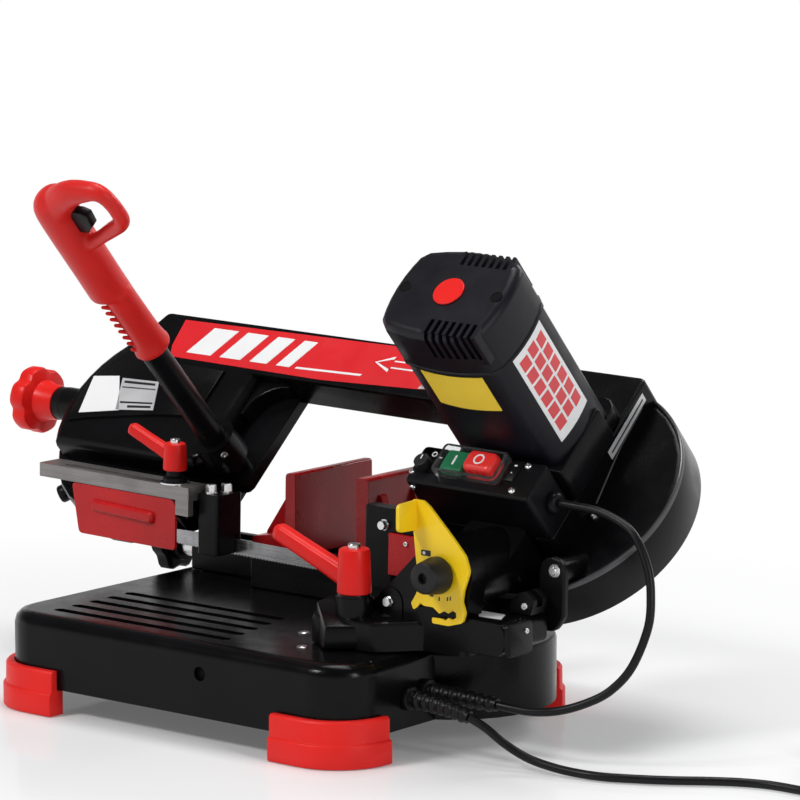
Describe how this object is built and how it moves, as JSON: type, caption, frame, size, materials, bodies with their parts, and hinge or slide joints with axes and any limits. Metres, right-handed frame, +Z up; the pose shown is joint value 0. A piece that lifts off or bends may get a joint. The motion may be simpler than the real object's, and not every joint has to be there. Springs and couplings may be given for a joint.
{
  "type": "horizontal band saw",
  "caption": "Benchtop horizontal band saw: a hinged bow with motor, blade and pull handle on a mitring arm over a footed base with a screw vise.",
  "frame": {"origin": "on the bench, under the middle of the saw's outline without its free cords", "axes": "+X along the bow from idler to motor, +Y away from the operator, +Z up"},
  "size_m": [0.9032, 0.3522, 0.4132],
  "materials": {
    "black_casting": "satin black paint",
    "black_iron": "satin black paint",
    "black_plastic": "satin",
    "red_plastic": "satin",
    "red_paint": "paint",
    "red_rubber": "matte",
    "yellow_plate": "satin",
    "bright_steel": "bright",
    "grey_bar": "burnished",
    "blade_steel": "bright",
    "cast_alloy": "cast",
    "green_plastic": "gloss",
    "clear_hood": "clear",
    "black_rubber": "matte"
  },
  "bodies": {
    "base": {"base_casting": "black_casting", "foot_front_left": "red_rubber", "foot_front_right": "red_rubber", "foot_rear_left": "red_rubber", "foot_rear_right": "red_rubber", "vise_bed": "black_iron", "fixed_jaw": "red_paint", "swivel_pivot_bolt": "bright_steel", "cable_relief": "black_rubber", "mains_relief": "black_rubber", "mains_lead": "black_rubber", "mains_coil": "black_rubber", "coil_tie": "black_rubber", "plug": "black_plastic"},
    "moving_jaw": {"moving_jaw": "red_paint"},
    "vise_screw": {"vise_screw": "bright_steel", "vise_handwheel": "black_plastic"},
    "mitre_arm": {"swivel_arm": "black_iron", "hinge_pin": "bright_steel", "spring_clevis": "black_iron", "feed_spring": "bright_steel", "head_cable_lower": "black_rubber"},
    "mitre_lever": {"mitre_lever": "red_plastic"},
    "feed_selector": {"selector_plate": "yellow_plate"},
    "selector_knob": {"selector_knob": "black_plastic"},
    "head": {"bow_casting": "black_casting", "rear_cover": "black_casting", "blade": "blade_steel", "gearbox_flange": "black_casting", "motor_body": "black_plastic", "motor_cap": "black_plastic", "motor_cap_disc": "red_plastic", "switch_box": "black_plastic", "switch_frame": "clear_hood", "cable_gland": "black_plastic", "handle_tube": "black_iron", "handle_grip": "red_plastic", "right_guide_block": "black_iron", "right_guard": "red_paint", "spring_bracket": "black_iron", "tension_collar": "black_plastic", "guide_spacer": "black_plastic", "head_cable_upper": "black_rubber"},
    "drive": {"drive_wheel": "cast_alloy", "drive_shaft": "bright_steel"},
    "idler_carrier": {"idler_slide": "cast_alloy", "idler_axle": "bright_steel"},
    "idler": {"idler_wheel": "cast_alloy"},
    "tension_knob": {"tension_knob": "red_plastic", "tension_screw": "bright_steel"},
    "blade_guide": {"guide_bar": "grey_bar", "left_guide_block": "black_iron", "left_guard": "red_paint"},
    "guide_lever": {"guide_lever": "red_plastic"},
    "trigger": {"trigger": "black_plastic"},
    "start_button": {"start_button": "green_plastic"},
    "stop_button": {"stop_button": "red_plastic"},
    "speed_dial": {"speed_dial": "black_plastic"}
  },
  "joints": [
    {"name": "mitre_swivel", "type": "hinge", "parent": "base", "child": "mitre_arm", "pos_m": [0.15334, 0.03381, 0.07], "axis": [0, 0, 1], "range_deg": [0, 45], "deforming": ["head_cable_lower"]},
    {"name": "head_hinge", "type": "hinge", "parent": "mitre_arm", "child": "head", "pos_m": [0.21634, -0.00419, 0.136], "axis": [0, 1, 0], "range_deg": [0, 35], "deforming": ["head_cable_upper"]},
    {"name": "jaw_slide", "type": "slide", "parent": "base", "child": "moving_jaw", "axis": [1, 0, 0], "range_m": [-0.02, 0.058]},
    {"name": "vise_screw_turn", "type": "hinge", "parent": "base", "child": "vise_screw", "pos_m": [-0.18566, 0.08781, 0.091], "axis": [1, 0, 0], "continuous": true},
    {"name": "mitre_lever_turn", "type": "hinge", "parent": "mitre_arm", "child": "mitre_lever", "pos_m": [0.14234, -0.06819, 0.112], "axis": [0, 0, 1], "range_deg": [-60, 30]},
    {"name": "selector_turn", "type": "hinge", "parent": "mitre_arm", "child": "feed_selector", "pos_m": [0.21634, -0.05919, 0.136], "axis": [0, 1, 0], "range_deg": [-15, 15]},
    {"name": "selector_knob_turn", "type": "hinge", "parent": "mitre_arm", "child": "selector_knob", "pos_m": [0.21634, -0.07419, 0.136], "axis": [0, 1, 0], "continuous": true},
    {"name": "drive_spin", "type": "hinge", "parent": "head", "child": "drive", "pos_m": [0.21988, 0.09581, 0.15993], "axis": [0.0166, -0.682, 0.7312], "continuous": true},
    {"name": "idler_tension", "type": "slide", "parent": "head", "child": "idler_carrier", "axis": [0.9997, 0, -0.0227], "range_m": [0, 0.003]},
    {"name": "idler_spin", "type": "hinge", "parent": "idler_carrier", "child": "idler", "pos_m": [-0.18301, 0.09581, 0.16907], "axis": [0.0166, -0.682, 0.7312], "continuous": true},
    {"name": "tension_turn", "type": "hinge", "parent": "head", "child": "tension_knob", "pos_m": [-0.29439, 0.07126, 0.19793], "axis": [0.9997, 0, -0.0227], "continuous": true},
    {"name": "guide_travel", "type": "slide", "parent": "head", "child": "blade_guide", "axis": [0.9997, 0, -0.0227], "range_m": [0, 0.06]},
    {"name": "guide_lever_turn", "type": "hinge", "parent": "head", "child": "guide_lever", "pos_m": [-0.10624, 0.01181, 0.15832], "axis": [0.0227, 0, 0.9997], "range_deg": [0, 90]},
    {"name": "trigger_pull", "type": "slide", "parent": "head", "child": "trigger", "axis": [-0.9997, 0, 0.0227], "range_m": [0, 0.004], "stiffness_N_per_m": 700},
    {"name": "start_press", "type": "slide", "parent": "head", "child": "start_button", "axis": [-0.0166, 0.682, -0.7312], "range_m": [0, 0.0025], "stiffness_N_per_m": 900},
    {"name": "stop_press", "type": "slide", "parent": "head", "child": "stop_button", "axis": [-0.0166, 0.682, -0.7312], "range_m": [0, 0.0025], "stiffness_N_per_m": 900},
    {"name": "speed_dial_turn", "type": "hinge", "parent": "head", "child": "speed_dial", "pos_m": [0.15635, -0.0032, 0.20304], "axis": [0.0166, -0.682, 0.7312], "range_deg": [-135, 135]}
  ],
  "couplings": [
    {"joint": "vise_screw_turn", "follows": "jaw_slide", "rad_per_m": 1570.8},
    {"joint": "idler_spin", "follows": "drive_spin", "ratio": 1},
    {"joint": "tension_turn", "follows": "idler_tension", "rad_per_m": 4188.8}
  ]
}
